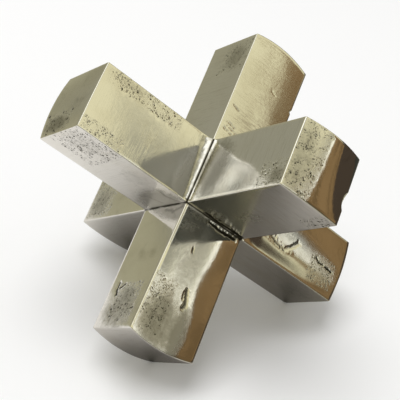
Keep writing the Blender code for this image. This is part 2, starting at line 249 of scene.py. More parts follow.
# The weld bead's outline, in shares of its radius: it fades out along the left arm to its toe,
# and meets the right arm in a crisp crease
BEAD_TOE, BEAD_RIDGE, BEAD_TOP = 1.6, 0.3, 0.72

# The grid: edges longer than ARM_EDGE run along an arm, and others over ROOT_EDGE across it
ARM_EDGE, ROOT_EDGE = 60 * MM, 30 * MM
ARM_CUTS, ROOT_CUTS, FINE_CUTS = 50, 27, 2
CREASE_ANGLE = math.radians(40)
SMOOTH_ANGLE = math.radians(38)
CROWN_RUN = 20 * MM
# Width of the grimy residue and painted shade along the valleys
GRIME_AND_SHADE_WIDTH = 1.6 * MM

# What each point of the casting carries for its material; the first is dirty residue with painted shade
MARKS = ("dirt", "pitted", "haze", "satin")

# Shades of brush marks, of metal that is only ground, of dull patches that are partly painted shade, and
# behind the floor
BRUSH_TINT = (0.42, 0.4, 0.34)
SATIN_TINT = (0.4, 0.39, 0.35)
SMUDGE_AND_SHADE_TINT = (0.19, 0.18, 0.145)
BACKDROP = (0.96, 0.96, 0.96)

# The stage, in metres
FLOOR_SIZE, FLOOR_DROP = 12, 0.0002
TABLE_MIDDLE = (-0.15, -0.03, 0)
# Reach of the painted contact shadow on the floor that the metal mirrors
CONTACT_SHADOW_REACH = 0.05
SOFTBOX_PLACE, SOFTBOX_SIZE = (-0.8, -0.4, 4), 2.9


def number(label, about, default, **limits):
    return FloatProperty(name=label, description=about, default=default, **limits)


def length(label, about, size):
    return number(label, about, size, min=0.0, unit="LENGTH", precision=4)


def lengths(label, about, sizes):
    return FloatVectorProperty(
        name=label, description=about, size=len(sizes), default=sizes, unit="LENGTH", precision=4
    )


def arm_sizes(label, *sizes):
    return lengths(label, "Reach, its end's two sizes, and the rise of its low and high edge", sizes)


def colour(label, about, default, most=1.0):
    return FloatVectorProperty(
        name=label, description=about, subtype="COLOR", size=3, default=default, min=0.0, max=most
    )


def share(label, about, default):
    return number(label, about, default, min=0.0, max=1.0, subtype="FACTOR")


def angle(label, about, degrees):
    return number(label, about, math.radians(degrees), subtype="ANGLE")


class JackSizes(bpy.types.PropertyGroup):
    """Sizes of the casting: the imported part's, but with finer rounding of edges and valleys."""

    core: lengths("Core", "Block where the bars cross, across its flats", (0.0445, 0.0445, 0.0436))
    left_arm: arm_sizes("Left arm", 0.1029, 0.0451, 0.0433, 0.0022, 0.0002)
    right_foot: arm_sizes("Right foot", 0.1028, 0.043, 0.0435, 0.002, 0.002)
    right_arm: arm_sizes("Right arm", 0.1039, 0.0438, 0.0424, 0.0007, 0.0037)
    left_foot: arm_sizes("Left foot", 0.1018, 0.0436, 0.0425, 0.0033, 0.0033)
    back_arm: arm_sizes("Back arm", 0.1021, 0.0457, 0.0444, 0.0035, 0.0035)
    front_foot: arm_sizes("Front foot", 0.1023, 0.0468, 0.042, 0.0031, 0.0031)
    edge_width: length("Edge width", "Rounding of the outer edges", 0.00055)
    valley_width: length("Valley width", "Rounding of the valleys between the arms", 0.0009)
    tip_wear: length("Tip wear", "How far the three tips are worn flat", 0.0012)
    bead: lengths("Weld bead", "Radius of the weld bead, low, middle and high", (0.0022, 0.0034, 0.0054))
    face_pillow: length("Face pillow", "Fall of each side face towards its edges", 0.00006)
    wave_height: length("Wave height", "Height of the long polishing waves", 0.000035)
    wave_length: length("Wave length", "Length of the long polishing waves", 0.024)


class JackFinish(bpy.types.PropertyGroup):
    """Colours and polish of the metal."""

    metal: colour("Metal", "Clean polished metal", (0.8, 0.785, 0.74))
    haze: colour("Haze", "Duller, warmer metal in cloudy patches", (0.74, 0.715, 0.65))
    # Colour of the dirty residue in pits and gouges, which is also the painted shade in pits, valleys and
    # creases
    dirt: colour("Dirt", "Oxide and polish left in pits and gouges", (0.035, 0.032, 0.024))
    polish_roughness: share("Polish", "Roughness of the brightest metal", 0.045)
    haze_roughness: share("Haze roughness", "Roughness of the cloudy patches", 0.075)
    satin_roughness: share("Satin roughness", "Added roughness where it is only ground", 0.16)
    brushing: share("Brushing", "Strength of the fine brush marks", 0.05)


class StageSettings(bpy.types.PropertyGroup):
    """Camera, floor and the light around the sculpture."""

    lens: number("Lens", "Focal length in millimetres", 85.0)
    aim: lengths("Aim", "Point that the camera looks at", (-0.0015, -0.0028, 0.0796))
    distance: length("Distance", "From the aim to the camera", 0.5819)
    azimuth: angle("Azimuth", "Turn of the camera around the sculpture", 15.83)
    elevation: angle("Elevation", "Height of the camera above the aim", 31.09)
    lean: angle("Lean", "Roll of the camera about its line of sight", 8.67)
    floor: colour("Floor", "Pale floor", (0.94, 0.94, 0.94))
    # The floor as only the metal mirrors it: lit at the left, and a painted shadow below and right of the
    # sculpture
    floor_in_metal: colour("Floor in metal", "Lit floor at the left, in the metal", (0.9, 0.88, 0.86))
    floor_shadow_in_metal: colour("Dim floor in metal", "Floor below and to the right", (0.68, 0.65, 0.63))
    wall: colour("Wall", "Pale wall that the bright faces mirror", (0.9, 0.85, 0.57))
    dim_wall: colour("Dim wall", "The wall's dimmer left part", (0.36, 0.35, 0.27))
    far_wall: colour("Far wall", "Wall and floor far off to the left and back", (0.4, 0.38, 0.26))
    zenith: colour("Zenith", "Light that the upward hollows mirror", (0.92, 0.93, 0.86))
    dim_ceiling: colour("Dim ceiling", "Ceiling to the right of the lamp", (0.28, 0.28, 0.24))
    lamp: colour("Lamp", "Overhead lamp as the edges mirror it", (1.7, 1.7, 1.65), 4.0)
    glow: colour("Glow", "Narrow window of light above the timber", (1.25, 1.25, 1.1), 4.0)
    timber: colour("Timber", "Brown band low on the right", (0.27, 0.175, 0.08))
    timber_end: number("Timber end", "Slope in plan where the timber ends", 0.44)
    shade: colour("Shade", "Dark band under the brown one", (0.066, 0.05, 0.036))
    gloom: colour("Gloom", "Dark side of the room, towards the front right", (0.06, 0.062, 0.052))
    fill: number("Fill", "Soft light from all round on the floor", 0.56)
    softbox_power: number("Softbox", "Power of the overhead light", 93.0)


def other_axes(axis):
    return [other for other in (X, Y, Z) if other != axis]


def third_axis(first, second):
    return X + Y + Z - first - second


def make_arms(sizes):
    """The six arms by name, from their sizes."""
    layout = {
        "left_arm": (X, 1, Z), "right_foot": (X, -1, Z), "right_arm": (Y, 1, X),
        "left_foot": (Y, -1, X), "back_arm": (Z, 1, X), "front_foot": (Z, -1, X),
    }
    arms = {}
    for name, (axis, sign, crown_axis) in layout.items():
        reach, first, second, low, high = getattr(sizes, name)
        ends = dict(zip(other_axes(axis), (first, second)))
        arms[name] = Arm(axis, sign, reach, ends, crown_axis, low, high)
    return arms


def foot_tip(foot):
    """The sharp corner of a foot that reaches the ground."""
    tip = Vector((0.0, 0.0, 0.0))
    tip[foot.axis] = foot.sign * foot.reach
    for axis, size in foot.end_sizes.items():
        tip[axis] = -size / 2
    return tip


def standing_turn(arms):
    """The turn that brings the three foot tips level, with the back arm pointing to +Y."""
    first, second, third = (foot_tip(arms[name]) for name in ("right_foot", "left_foot", "front_foot"))
    up = (second - first).cross(third - first).normalized()
    if up.dot(first) > 0:
        up.negate()
    back = Vector((0.0, 0.0, 1.0))
    back = (back - back.dot(up) * up).normalized()
    return Matrix((back.cross(up), back, up)).to_4x4()


def face_level(core, arm, side, along):
    """How far a side face lies from the middle, at distances along its arm."""
    root = core[arm.axis] / 2
    reached = (along - root) / (arm.reach - root)
    return core[side] / 2 + (arm.end_sizes[side] - core[side]) / 2 * reached


def smooth_step(values, start, end):
    t = np.clip((values - start) / (end - start), 0.0, 1.0)
    return t * t * (3 - 2 * t)


def soft_noise(points, size):
    """Soft noise at each point, in clouds of this size."""
    return np.array([noise.fractal(Vector(p) / size, 1.0, 2.0, 2) for p in points])


def select_in_edit(obj, kind, wanted):
    """Selects the faces or edges of the object that the test accepts, in edit mode."""
    bpy.ops.mesh.select_mode(type=kind)
    bpy.ops.mesh.select_all(action="DESELECT")
    mesh = bmesh.from_edit_mesh(obj.data)
    for element in mesh.faces if kind == "FACE" else mesh.edges:
        element.select_set(wanted(element))
    bmesh.update_edit_mesh(obj.data)


def add_core(core):
    bpy.ops.mesh.primitive_cube_add(size=1.0, scale=core)
    bpy.ops.object.transform_apply(location=False, rotation=False, scale=True)
    casting = bpy.context.object
    casting.name = "cast_jack"
    return casting


def extrude_arm(casting, core, arm):
    """Draws one face of the core out into an arm and sizes its end."""
    outward = Vector([arm.sign if axis == arm.axis else 0 for axis in (X, Y, Z)])

    def is_root(face):
        centre = face.calc_center_median()
        return centre.normalized().dot(outward) > 0.99 and face.normal.dot(outward) > 0.99

    select_in_edit(casting, "FACE", is_root)
    bpy.ops.mesh.extrude_region_move(
        TRANSFORM_OT_translate={"value": outward * (arm.reach - core[arm.axis] / 2)}
    )
    flare = [1.0, 1.0, 1.0]
    for axis, size in arm.end_sizes.items():
        flare[axis] = size / core[axis]
    bpy.ops.transform.resize(value=flare, center_override=outward * arm.reach)


def round_edges(casting, sizes):
    """Bevels the outer edges and the valleys in one go, each to its own width."""
    widest = max(sizes.edge_width, sizes.valley_width)
    for sign, width in ((1, sizes.edge_width), (-1, sizes.valley_width)):
        select_in_edit(casting, "EDGE", lambda edge: sign * edge.calc_face_angle_signed() > CREASE_ANGLE)
        bpy.ops.transform.edge_bevelweight(value=width / widest)
    bpy.ops.object.mode_set(mode="OBJECT")
    bevel = casting.modifiers.new("Rounded edges", "BEVEL")
    bevel.limit_method = "WEIGHT"
    bevel.width = widest
    bevel.segments = 3
    bevel.use_clamp_overlap = False
    bpy.ops.object.modifier_apply(modifier=bevel.name)
    bpy.ops.object.mode_set(mode="EDIT")


def cut_edges(casting, shortest, longest, cuts):
    select_in_edit(casting, "EDGE", lambda edge: shortest < edge.calc_length() < longest)
    bpy.ops.mesh.subdivide(number_cuts=cuts)


def refine(casting, wanted):
    """Cuts the grid three times finer where the test accepts a face's middle."""
    select_in_edit(casting, "FACE", lambda face: wanted(face.calc_center_median()))
    bpy.ops.mesh.subdivide(number_cuts=FINE_CUTS)


def read_points(mesh):
    points = np.empty(len(mesh.vertices) * 3)
    mesh.vertices.foreach_get("co", points)
    return points.reshape(-1, 3)


def write_points(mesh, points):
    mesh.vertices.foreach_set("co", points.astype(np.float32).ravel())
    mesh.update()


def crown_ends(points, arms):
    """Raises each arm's end into a barrel, and stretches the arm's last stretch to follow it."""
    crowned = points.copy()
    for arm in arms.values():
        along = points[:, arm.axis] * arm.sign
        flat_axis = third_axis(arm.axis, arm.crown_axis)
        across = points[:, flat_axis] / arm.end_sizes[flat_axis] + 0.5
        round_way = points[:, arm.crown_axis] / (arm.end_sizes[arm.crown_axis] / 2)
        rise = arm.crown_low + (arm.crown_high - arm.crown_low) * np.clip(across, 0, 1)
        follow = np.clip((along - arm.reach + CROWN_RUN) / CROWN_RUN, 0, 1)
        crowned[:, arm.axis] += arm.sign * rise * np.clip(1 - round_way**2, 0, 1) * follow**2
    return crowned


class Relief:
    """What is worked into the casting: how far each point moves, how pitted it is,
    and how dark it is painted with dirty residue and painted shade.
    """

    touch = 0.3 * MM
    rim = 8

    def __init__(self, points, core, arms):
        self.rest = points
        self.core = core
        self.arms = arms
        self.shift = np.zeros_like(points)
        self.dirt, self.pitted, self.haze, self.satin = np.zeros((4, len(points)))

    def on(self, face):
        """The points on a face: their numbers, and their places along and across it in mm."""
        arm = self.arms[face.arm]
        outward = self.rest[:, arm.axis] * arm.sign
        if face.side == arm.axis:
            on_end = outward > arm.reach - self.touch
            for axis, size in arm.end_sizes.items():
                on_end &= abs(self.rest[:, axis]) < size / 2 - self.touch
            index = np.flatnonzero(on_end)
            return index, *(self.rest[index, axis] / MM for axis in arm.end_sizes)
        level = face_level(self.core, arm, face.side, outward)
        near = abs(self.rest[:, face.side] * face.sign - level) < self.touch
        index = np.flatnonzero(near & (outward > self.core[arm.axis] / 2 + self.touch))
        across = third_axis(arm.axis, face.side)
        return index, outward[index] / MM, self.rest[index, across] / MM

    def around(self, face):
        """Points on and just under a face, as on() gives them, and a weight that fades with depth.

        Where a whole face is moved, the rims of its neighbours follow, so its edges stay sharp."""
        arm = self.arms[face.arm]
        other = third_axis(arm.axis, face.side)
        outward = self.rest[:, arm.axis] * arm.sign
        root = self.core[arm.axis] / 2
        level = face_level(self.core, arm, face.side, outward)
        under = (level - self.rest[:, face.side] * face.sign) / MM
        beside = abs(self.rest[:, other]) < arm.end_sizes[other] / 2 + 2 * MM
        index = np.flatnonzero(beside & (under < self.rim) & (under > -2) & (outward > root))
        free = smooth_step(outward[index], root + 1 * MM, root + self.rim * MM)
        weight = free * (1 - smooth_step(under[index], 0.5, self.rim))
        return index, outward[index] / MM, self.rest[index, other] / MM, weight

    def press(self, face, index, depth):
        """Moves points into a face by a depth in mm, or out of it where that is negative."""
        self.shift[index, face.side] -= face.sign * depth * MM


def mark(marks, index, values):
    """Raises marks to the new values where these are higher."""
    marks[index] = np.maximum(marks[index], values)


def pit(relief, zone, seed):
    """Casting pits in clumps over a patch of a face."""
    dice = random.Random(seed)
    index, along, across = relief.on(zone.face)
    depth = np.zeros(len(index))
    made = 0
    while made < zone.count:
        u, v = dice.uniform(*zone.along), dice.uniform(*zone.across)
        if noise.noise(Vector((u / 7, v / 7, seed))) < dice.uniform(-0.35, 0.25):
            continue
        made += 1
        grade = dice.random() ** 2.5
        radius = zone.size * (0.65 + 1.25 * grade)
        turn, slim = dice.uniform(0, math.pi), dice.uniform(0.45, 1.0)
        du, dv = along - u, across - v
        long_way = (du * math.cos(turn) + dv * math.sin(turn)) / radius
        short_way = (dv * math.cos(turn) - du * math.sin(turn)) / (radius * slim)
        bowl = np.clip(1 - long_way**2 - short_way**2, 0, 1)
        depth = np.maximum(depth, zone.depth * (0.6 + 0.9 * grade) * bowl)
        # Pits are painted dark: dirty residue and painted shade in them
        mark(relief.dirt, index, (0.55 + 0.4 * grade) * bowl**0.5)
    relief.press(zone.face, index, depth)
    middle_u, middle_v = sum(zone.along) / 2, sum(zone.across) / 2
    spread_u, spread_v = (zone.along[1] - zone.along[0]) / 2, (zone.across[1] - zone.across[0]) / 2
    far = np.maximum(abs(along - middle_u) / spread_u, abs(across - middle_v) / spread_v)
    mark(relief.pitted, index, 1 - smooth_step(far, 0.75, 1.15))


def distance_to_path(along, across, path):
    """Distance of each point from a line through the path's points."""
    nearest = np.full(len(along), np.inf)
    for (u0, v0), (u1, v1) in zip(path, path[1:]):
        run_u, run_v = u1 - u0, v1 - v0
        t = np.clip(((along - u0) * run_u + (across - v0) * run_v) / (run_u**2 + run_v**2), 0, 1)
        nearest = np.minimum(nearest, np.hypot(along - u0 - t * run_u, across - v0 - t * run_v))
    return nearest


def cut_groove(relief, groove):
    index, along, across = relief.on(groove.face)
    ragged = np.array([1 + 0.9 * noise.noise(Vector((u, v, 3.0)) * 0.7) for u, v in zip(along, across)])
    bowl = np.clip(1 - (distance_to_path(along, across, groove.path) / groove.width * ragged) ** 2, 0, 1)
    relief.press(groove.face, index, groove.depth * bowl)
    # Gouges and the lines at the roots are painted dark: dirty residue and painted shade
    mark(relief.dirt, index, groove.dirt * np.sqrt(bowl))


def smear(relief, dark_patch, marks):
    """Adds a soft patch to one kind of marks, the haze or the satin."""
    index, along, across = relief.on(dark_patch.face)
    (u, v), (long_size, short_size) = dark_patch.centre, dark_patch.size
    far = np.hypot((along - u) / long_size, (across - v) / short_size)
    mark(marks, index, dark_patch.strength * (1 - smooth_step(far, 0.3, 1.2)))


def bend_folds(relief):
    """Low ridges across a face that turn its two sides a degree or two away from each other."""
    for fold in FOLDS:
        index, along, across, weight = relief.around(fold.face)
        ridge_along, ridge_across = zip(*fold.ridge)
        beside = across - np.interp(along, ridge_along, ridge_across)
        soft = np.hypot(beside, fold.soft)
        plus = np.minimum((soft + beside) / 2, FOLD_REACH) / FOLD_REACH
        minus = np.minimum((soft - beside) / 2, FOLD_REACH) / FOLD_REACH
        height = fold.lift - fold.plus_fall * plus - fold.minus_fall * minus
        relief.press(fold.face, index, -height * weight)


def press_scoops(relief):
    """Hollows that fall quickly from the arm's root and rise slowly towards its end."""
    for scoop in SCOOPS:
        index, along, across, weight = relief.around(scoop.face)
        bowl = smooth_step(along, scoop.back, scoop.deepest)
        bowl *= 1 - smooth_step(along, scoop.deepest, scoop.front)
        low, low_full, high_full, high = scoop.across
        drifted = across + scoop.drift * (along - scoop.deepest)
        bowl *= smooth_step(across, low, low_full) * (1 - smooth_step(drifted, high_full, high))
        relief.press(scoop.face, index, scoop.depth * bowl * weight)


def raise_lip(relief):
    """The rough lip that is left standing below the crescent-shaped gouge."""
    index, along, across = relief.on(RIGHT_FOOT_TOP)
    ragged = np.array([noise.noise(Vector((u, v, 7.0))) for u, v in zip(along / 1.2, across / 1.2)])
    ridge = np.exp(-((distance_to_path(along, across, LIP) / LIP_WIDTH) ** 2))
    relief.press(RIGHT_FOOT_TOP, index, -LIP_HEIGHT * ridge * (1 + 0.9 * ragged))


def sink_holes(relief):
    for hole in HOLES:
        far = np.linalg.norm(relief.rest / MM - np.array(hole.place), axis=1) / hole.radius
        bowl = np.clip(1 - far**2, 0, 1)
        middle = Vector(hole.place).normalized()
        relief.shift -= (bowl * hole.depth * MM)[:, None] * np.array(middle)
        # Holes are painted dark: dirty residue and painted shade in them
        relief.dirt = np.maximum(relief.dirt, hole.dirt * np.sqrt(bowl))


def wear_edges(relief):
    """Moves what lies inside each bite straight back onto its round floor."""
    outward = np.array((-1.0, 1.0, 0.0)) / math.sqrt(2)
    aside = np.array((1.0, 1.0, 0.0)) / math.sqrt(2)
    for wear in WEARS:
        middle = np.array(wear.edge) + outward * (WEAR_RADIUS - wear.depth)
        away = relief.rest / MM - middle
        width = WEAR_RADIUS**2 * (1 - (away[:, Z] / (wear.length / 2)) ** 2) - (away @ aside) ** 2
        floor = np.sqrt(np.clip(width, 0, None))
        index = np.flatnonzero(abs(away @ outward) < floor)
        sunk = floor[index] + away[index] @ outward
        relief.shift[index] -= (sunk * MM)[:, None] * outward
        mark(relief.satin, index, 0.5)


def settle_grime_and_shade(relief):
    """Grimy residue and painted shade along the valleys between the arms, broken up so that it comes and
    goes.
    """
    outside = abs(relief.rest) - np.array(relief.core) / 2
    for axis in (X, Y, Z):
        away = np.hypot(*(outside[:, other] for other in other_axes(axis)))
        index = np.flatnonzero((away < GRIME_AND_SHADE_WIDTH) & (outside[:, axis] < 0))
        broken = np.array([noise.noise(Vector(p) * 160.0) for p in relief.rest[index]])
        grime_and_shade = (1 - away[index] / GRIME_AND_SHADE_WIDTH) * np.clip(0.95 + 0.9 * broken, 0, 1)
        # Valleys painted dark: painted shade with grimy residue
        mark(relief.dirt, index, grime_and_shade)


def bead_radius(bead, height_share):
    """Radius of the weld bead, at shares of its height: a curve through its three sizes."""
    low, middle, high = bead
    slope = 4 * middle - 3 * low - high
    return low + slope * height_share + (high - low - slope) * height_share**2


def raise_bead(relief, sizes):
    """Bends the valley between the left arm and the right arm out into a round weld bead."""
    core_x, core_y, core_z = (size / 2 for size in sizes.core)
    a = relief.rest[:, X] - core_x
    c = relief.rest[:, Y] - core_y
    height_share = (relief.rest[:, Z] / core_z + 1) / 2
    radius = bead_radius(sizes.bead, np.clip(height_share, 0, 1))
    end_fade = smooth_step(core_z - 0.6 * MM - abs(relief.rest[:, Z]), 0.0, 0.9 * MM)
    radius = radius * end_fade
    near = (a > -0.2 * MM) & (c > -0.2 * MM) & (np.minimum(a, c) < 0.9 * MM) & (end_fade > 0)
    side = (c - a) / np.maximum(radius, 1e-9)
    index = np.flatnonzero(near & (side < 1) & (side > -BEAD_TOE))
    radius, side = radius[index], side[index]
    ripple = soft_noise(relief.rest[index], 3 * MM)
    run_down = np.clip(-side / BEAD_TOE, 0, 1)
    run_up = np.clip(side, 0, 1)
    outward = np.where(side < 0, BEAD_RIDGE + (BEAD_TOE - BEAD_RIDGE) * run_down, BEAD_RIDGE * (1 - run_up))
    rise = np.where(side < 0, BEAD_TOP * (1 - run_down) ** 2, BEAD_TOP + (1 - BEAD_TOP) * run_up)
    swell = radius * (1 + 0.05 * ripple * (1 - run_up))
    relief.shift[index, X] = core_x + swell * outward - relief.rest[index, X]
    relief.shift[index, Y] = core_y + swell * rise - relief.rest[index, Y]
    # A dark line painted along the crease where the bead meets the right arm: painted shade with residue
    crease = np.exp(-(((side - 1) / 0.05) ** 2))
    mark(relief.dirt, index, 0.65 * crease)
    mark(relief.satin, index, 1.0)
    mark(relief.haze, index, 0.15 + 0.5 * run_down + 0.3 * np.clip(ripple, -1, 1))


def polish_waves(relief, sizes):
    """Long low waves and a slight pillow that grinding and polishing leave in each side face."""
    for name, arm in relief.arms.items():
        for side in other_axes(arm.axis):
            other = third_axis(arm.axis, side)
            for sign in (1, -1):
                face = Face(name, side, sign)
                index, along, across, weight = relief.around(face)
                wave = soft_noise(relief.rest[index], sizes.wave_length)
                edgeways = (across * MM / (arm.end_sizes[other] / 2)) ** 2
                fall = sizes.face_pillow * edgeways + sizes.wave_height * (1 - wave)
                relief.press(face, index, fall / MM * weight)


def relief_places(core, arms, sizes):
    """A test for faces that are cut finer: at pits, gouges, fine patches and the weld bead."""
    boxes = [(zone.face, zone.along, zone.across) for zone in PIT_ZONES]
    boxes.extend(FINE_PATCHES)
    for groove in GROOVES:
        margin = groove.width + 0.5
        spans = [(min(way) - margin, max(way) + margin) for way in zip(*groove.path)]
        boxes.append((groove.face, *spans))
    bead_reach = max(sizes.bead) + 1 * MM

    def wanted(centre):
        if min(centre.x - core[X] / 2, centre.y - core[Y] / 2) > -0.3 * MM and abs(centre.z) < core[Z] / 2:
            if centre.x + centre.y < (core[X] + core[Y]) / 2 + bead_reach:
                return True
        for face, along, across in boxes:
            arm = arms[face.arm]
            outward = centre[arm.axis] * arm.sign / MM
            if face.side == arm.axis:
                u, v = (centre[axis] / MM for axis in other_axes(arm.axis))
                on_face = outward > arm.reach / MM - 0.3
            else:
                u, v = outward, centre[third_axis(arm.axis, face.side)] / MM
                level = face_level(core, arm, face.side, outward * MM)
                on_face = abs(centre[face.side] * face.sign - level) < 0.3 * MM
            if on_face and along[0] < u < along[1] and across[0] < v < across[1]:
                return True
        return False

    return wanted


def store_marks(mesh, relief):
    for name in MARKS:
        attribute = mesh.attributes.new(name, "FLOAT", "POINT")
        attribute.data.foreach_set("value", np.clip(getattr(relief, name), 0, 1).astype(np.float32))


def stand_matrix(arms, sizes, points):
    """The turn and slide from the jack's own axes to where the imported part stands."""
    turn = standing_turn(arms)
    turned = points @ np.array(turn.to_3x3()).T
    low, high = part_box("jack")
    middle = (turned.min(axis=0) + turned.max(axis=0)) / 2
    ground = (turn @ foot_tip(arms["front_foot"])).z + sizes.tip_wear
    slide = ((low.x + high.x) / 2 - middle[X], (low.y + high.y) / 2 - middle[Y], -ground)
    return Matrix.Translation(slide) @ turn


# A Mix node's colour sockets share their names with its other sockets, so they go by number
MIX_FIRST_COLOUR, MIX_SECOND_COLOUR, MIX_COLOUR_RESULT = 6, 7, 2


class Nodes:
    """A short way to write a node tree: each call adds a node and links what feeds it."""

    def __init__(self, tree):
        self.tree = tree

    def add(self, kind, inputs=None, **settings):
        node = self.tree.nodes.new("ShaderNode" + kind)
        for name, value in settings.items():
            setattr(node, name, value)
        for name, value in (inputs or {}).items():
            self.feed(node.inputs[name], value)
        return node

    def out(self, kind, inputs=None, output=0, **settings):
        return self.add(kind, inputs, **settings).outputs[output]

    def feed(self, socket, value):
        if isinstance(value, bpy.types.NodeSocket):
            self.tree.links.new(value, socket)
        elif socket.type == "RGBA":
            socket.default_value = (*value, 1.0)
        else:
            socket.default_value = value

    def maths(self, operation, first, second=0.0):
        return self.out("Math", {0: first, 1: second}, operation=operation)

    def times(self, first, second):
        return self.maths("MULTIPLY", first, second)

    def plus(self, first, second):
        return self.maths("ADD", first, second)

    def larger(self, first, second):
        return self.maths("MAXIMUM", first, second)

    def vectors(self, operation, first, second):
        """A number from two vectors, such as their dot product."""
        return self.out("VectorMath", {0: first, 1: second}, "Value", operation=operation)

    def parts(self, vector):
        return self.add("SeparateXYZ", {"Vector": vector}).outputs

    def attribute(self, name):
        return self.add("Attribute", attribute_name=name).outputs["Fac"]

    def specks(self, vector, scale, far, near):
        """Round dots: where the nearest middle is closer than far, and full from near."""
        dots = self.add("TexVoronoi", {"Vector": vector, "Scale": scale})
        return self.span(dots.outputs["Distance"], far, near)

    def bump(self, height, strength, distance, under=None):
        inputs = {"Strength": strength, "Distance": distance, "Height": height}
        if under:
            inputs["Normal"] = under
        return self.out("Bump", inputs, "Normal")

    def span(self, value, low, high, to_low=0.0, to_high=1.0):
        inputs = {"Value": value, "From Min": low, "From Max": high, "To Min": to_low, "To Max": to_high}
        return self.add("MapRange", inputs, interpolation_type="SMOOTHSTEP").outputs["Result"]

    def blend(self, factor, first, second):
        node = self.add("Mix", data_type="RGBA")
        self.feed(node.inputs["Factor"], factor)
        self.feed(node.inputs[MIX_FIRST_COLOUR], first)
        self.feed(node.inputs[MIX_SECOND_COLOUR], second)
        return node.outputs[MIX_COLOUR_RESULT]

    def noise(self, vector, scale, detail=3.0, roughness=0.5, distortion=0.0):
        inputs = {"Vector": vector, "Scale": scale, "Detail": detail, "Roughness": roughness}
        return self.out("TexNoise", {**inputs, "Distortion": distortion}, "Fac")


def polished_metal(finish, stand):
    """Brushed and polished cast metal: clear and hazy clouds, brush marks and fine pits.

    Dirty residue with painted shade darkens its hollows, valleys and crease, and dull patches are partly
    painted shade.
    """
    material = bpy.data.materials.new("polished_aluminium")
    material.use_nodes = True
    nodes = Nodes(material.node_tree)
    span, times, plus, larger, blend = nodes.span, nodes.times, nodes.plus, nodes.larger, nodes.blend
    shader = material.node_tree.nodes["Principled BSDF"]
    shader.inputs["Metallic"].default_value = 1.0

    place = nodes.add("TexCoord").outputs["Object"]
    turn_back = stand.to_3x3().inverted().to_euler()
    own = nodes.out("Mapping", {"Vector": place, "Rotation": turn_back}, "Vector")
    dirt, pitted, haze_marks, satin = (nodes.attribute(name) for name in MARKS)

    clouds = nodes.noise(own, 38.0, 4.0, 0.55, 0.4)
    cloudy = span(clouds, 0.42, 0.75)
    mottle = nodes.noise(own, 300.0, 5.0, 0.7, 0.3)
    blotches = times(nodes.maths("SUBTRACT", mottle, 0.5), 0.9)
    # Dull dirty patches, partly painted shade that darkens the metal's reflection in places
    dark_patch = times(span(plus(haze_marks, blotches), 0.1, 0.95), span(haze_marks, 0.02, 0.25))

    clumps = span(nodes.noise(own, 240.0, 3.0, 0.65), 0.4, 0.62)
    dots = larger(nodes.specks(own, 720.0, 0.42, 0.22), nodes.specks(own, 1300.0, 0.4, 0.22))
    speck = times(times(dots, clumps), span(pitted, 0.1, 0.6))
    # Painted shade with dirty residue: the marked pits, gouges, holes, valleys and crease, and the fine
    # pits' specks
    grime_and_shade = larger(span(dirt, 0.15, 0.75), times(speck, 0.8))

    x, y, z = (nodes.maths("ABSOLUTE", side) for side in nodes.parts(own))
    reach = larger(larger(x, y), z)
    drawn_out = {"Vector": own, "W": times(reach, 22.0), "Scale": 70.0, "Detail": 4.0, "Roughness": 0.65}
    strokes = nodes.add("TexNoise", drawn_out, noise_dimensions="4D").outputs["Fac"]
    brushed_here = larger(span(nodes.noise(own, 30.0, 2.0), 0.5, 0.68), satin)
    streaks = times(span(strokes, 0.48, 0.72), brushed_here)

    metal = blend(cloudy, finish.metal, finish.haze)
    metal = blend(times(streaks, 0.55), metal, BRUSH_TINT)
    metal = blend(times(satin, 0.3), metal, SATIN_TINT)
    # Dull patches darken the metal, partly as painted shade
    dulled = blend(times(dark_patch, 0.75), metal, SMUDGE_AND_SHADE_TINT)
    nodes.feed(shader.inputs["Base Color"], blend(grime_and_shade, dulled, finish.dirt))

    rough = span(clouds, 0.4, 0.8, finish.polish_roughness, finish.haze_roughness)
    rough = plus(rough, times(dark_patch, 0.2))
    rough = plus(rough, times(satin, finish.satin_roughness))
    rough = plus(rough, times(pitted, 0.08))
    rough = plus(rough, times(grime_and_shade, 0.4))
    nodes.feed(shader.inputs["Roughness"], rough)

    brushed = nodes.bump(streaks, finish.brushing, 0.3 * MM)
    rippled = nodes.bump(nodes.noise(own, 420.0, 2.0), 0.05, 0.3 * MM, brushed)
    pricked = nodes.bump(times(speck, -1.0), 0.3, 0.2 * MM, rippled)
    nodes.feed(shader.inputs["Normal"], pricked)
    return material


